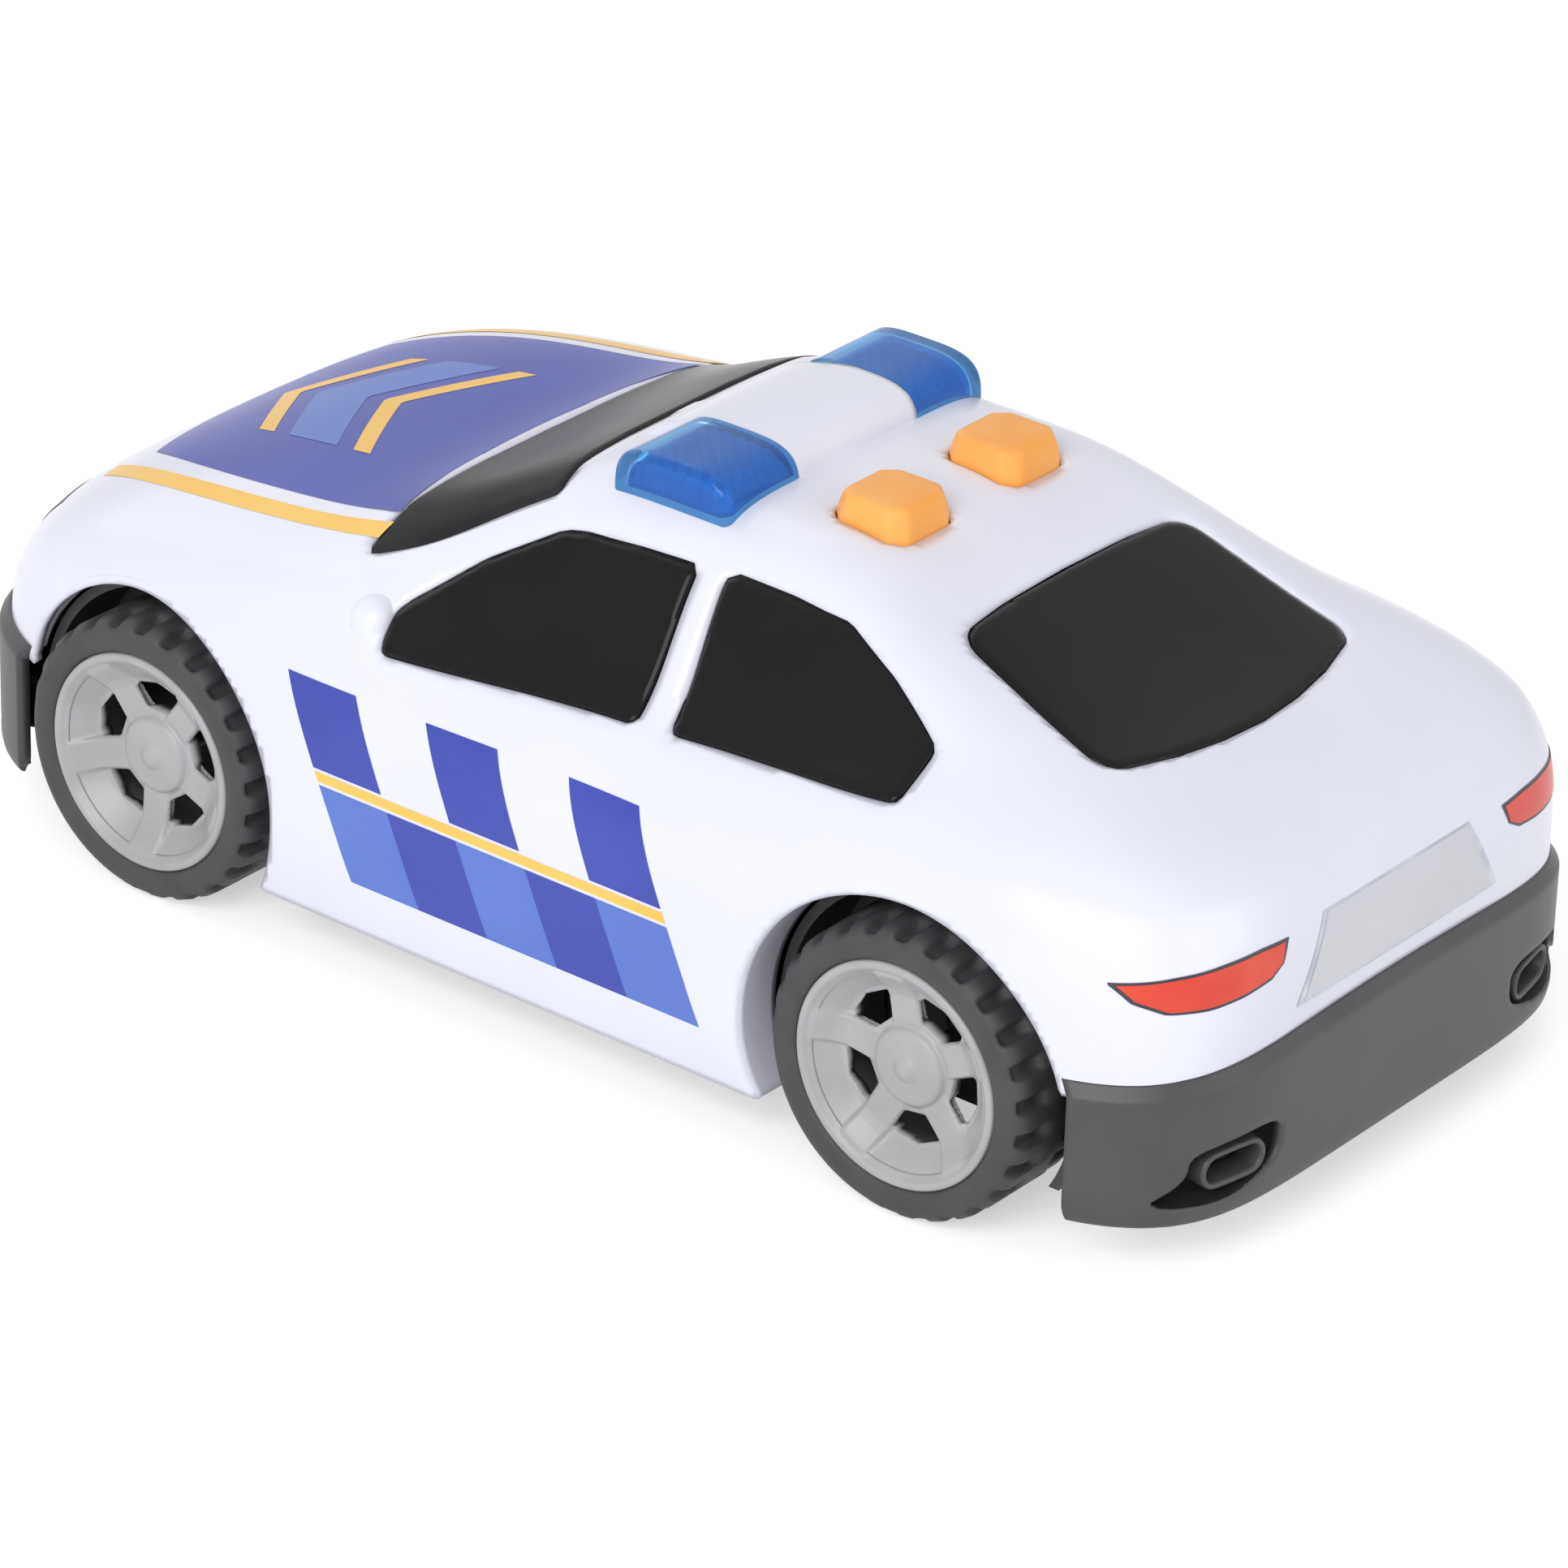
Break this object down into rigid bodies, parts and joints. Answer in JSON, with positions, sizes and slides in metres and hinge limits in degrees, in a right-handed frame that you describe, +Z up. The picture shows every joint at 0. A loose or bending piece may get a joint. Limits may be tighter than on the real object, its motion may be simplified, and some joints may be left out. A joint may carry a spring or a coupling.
{
  "type": "toy police car",
  "caption": "White toy patrol car with a blue light bar, orange push buttons on the roof, dark windows and bumpers, and grey spoked wheels on free-rolling axles.",
  "frame": {"origin": "on the ground under the middle of the bounding box, which is also midway between the axles", "axes": "+X to the front of the car, +Y to its left side, +Z up"},
  "size_m": [0.244, 0.1214, 0.0908],
  "materials": {
    "white_shell": "moulded, glossy white with a cool cast",
    "screen_plastic": "glossy dark grey",
    "window_plastic": "glossy black",
    "blue_lens": "translucent blue plastic with small prisms inside",
    "orange_cap": "moulded, satin orange",
    "dome_rubber": "matt silicone rubber",
    "board": "green solder mask",
    "diode": "clear epoxy",
    "screw_steel": "zinc plated",
    "dark_bumper": "moulded, satin dark grey",
    "dark_base": "moulded, fine grain dark grey",
    "speaker_metal": "pressed steel basket",
    "cell_case": "printed steel can with a plain colour",
    "contact_metal": "nickel plated spring steel",
    "axle_steel": "drawn steel",
    "grey_rim": "moulded, satin mid grey",
    "soft_tyre": "soft dark grey moulding"
  },
  "bodies": {
    "car": {"body_shell": "white_shell", "windscreen": "screen_plastic", "rear_window": "window_plastic", "front_window_left": "window_plastic", "front_window_right": "window_plastic", "rear_window_left": "window_plastic", "rear_window_right": "window_plastic", "beacon_lens_left": "blue_lens", "beacon_lens_right": "blue_lens", "rubber_dome_left": "dome_rubber", "rubber_dome_right": "dome_rubber", "circuit_board": "board", "beacon_diodes": "diode", "board_screws": "screw_steel", "front_bumper": "dark_bumper", "rear_bumper": "dark_bumper", "bumper_screws": "screw_steel", "base": "dark_base", "shell_screws": "screw_steel", "speaker": "speaker_metal", "batteries": "cell_case", "battery_contacts": "contact_metal"},
    "front_wheels": {"front_axle": "axle_steel", "rim_front_left": "grey_rim", "rim_front_right": "grey_rim", "tyre_front_left": "soft_tyre", "tyre_front_right": "soft_tyre"},
    "rear_wheels": {"rear_axle": "axle_steel", "rim_rear_left": "grey_rim", "rim_rear_right": "grey_rim", "tyre_rear_left": "soft_tyre", "tyre_rear_right": "soft_tyre"},
    "button_left": {"button_left": "orange_cap"},
    "button_right": {"button_right": "orange_cap"},
    "battery_door": {"battery_door": "dark_base", "door_screw": "screw_steel"}
  },
  "joints": [
    {"name": "front_wheels_roll", "type": "hinge", "parent": "car", "child": "front_wheels", "pos_m": [0.074, 0, 0.0233], "axis": [0, 1, 0], "continuous": true},
    {"name": "rear_wheels_roll", "type": "hinge", "parent": "car", "child": "rear_wheels", "pos_m": [-0.074, 0, 0.0233], "axis": [0, 1, 0], "continuous": true},
    {"name": "button_left_press", "type": "slide", "parent": "car", "child": "button_left", "axis": [0, 0, -1], "range_m": [0, 0.0016], "stiffness_N_per_m": 900, "deforming": ["rubber_dome_left"]},
    {"name": "button_right_press", "type": "slide", "parent": "car", "child": "button_right", "axis": [0, 0, -1], "range_m": [0, 0.0016], "stiffness_N_per_m": 900, "deforming": ["rubber_dome_right"]},
    {"name": "battery_door_lift", "type": "slide", "parent": "car", "child": "battery_door", "axis": [0, 0, -1], "range_m": [0, 0.015]}
  ]
}
